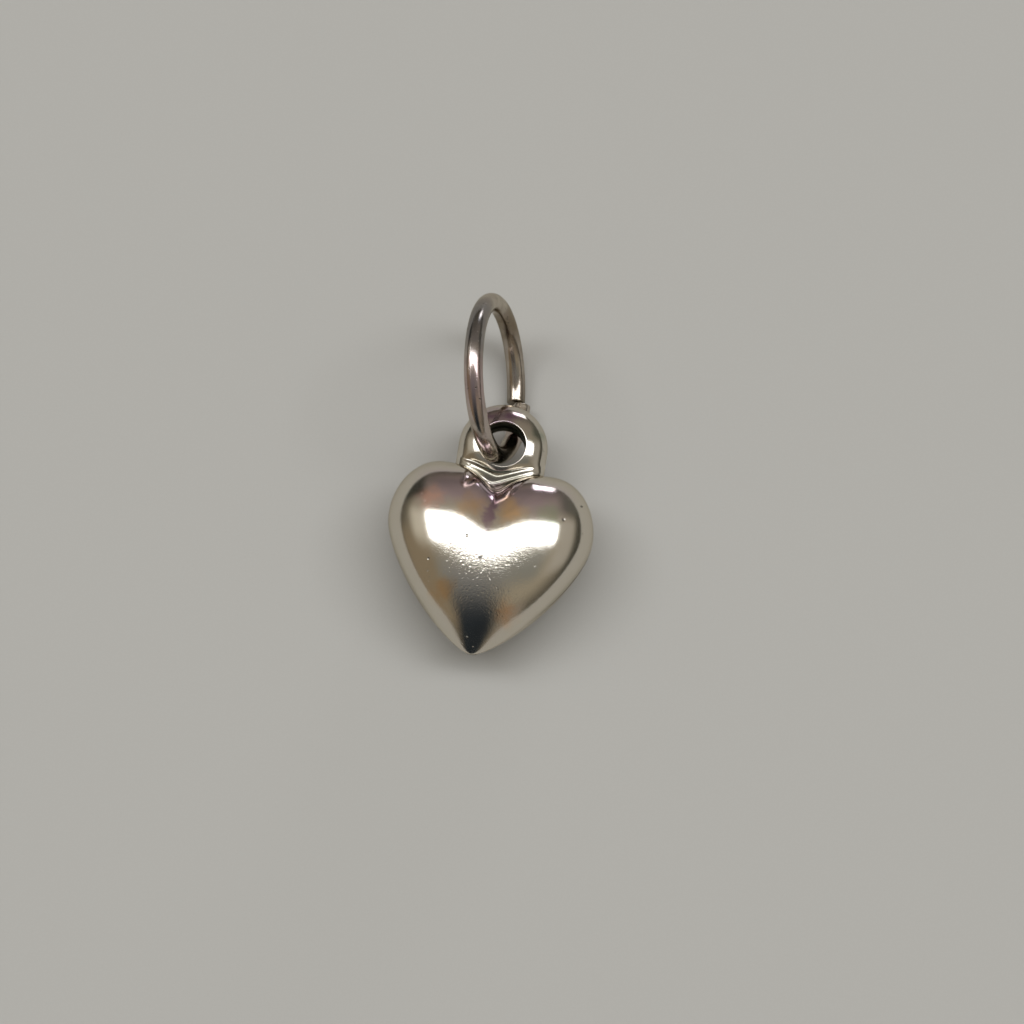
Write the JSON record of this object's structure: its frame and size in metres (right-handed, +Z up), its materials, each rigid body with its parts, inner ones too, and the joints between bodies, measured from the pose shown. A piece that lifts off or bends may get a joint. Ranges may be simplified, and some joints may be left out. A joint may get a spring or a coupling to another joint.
{
  "type": "heart pendant",
  "caption": "Small hollow puffed-heart pendant in polished silver, with a domed hanging eye at the cleft and an open round-wire jump ring that swings in the eye.",
  "frame": {"origin": "under the middle of the pendant's box, on the table that it lies on", "axes": "+X to the right across the heart, +Y from the heart's tip to the jump ring, +Z up out of the heart's front face"},
  "size_m": [0.01, 0.0174, 0.008],
  "materials": {
    "shell_silver": "polished silver, worn and lightly tarnished",
    "wire_silver": "polished drawn silver wire",
    "solder": "dull silver solder"
  },
  "bodies": {
    "heart": {"front_shell": "shell_silver", "back_shell": "shell_silver", "solder_seam": "solder"},
    "ring": {"jump_ring": "wire_silver"}
  },
  "joints": [
    {"name": "ring_swing", "type": "hinge", "parent": "heart", "child": "ring", "pos_m": [0, 0.00152, 0.00275], "axis": [0, 0, 1], "range_deg": [-110, 110]}
  ]
}
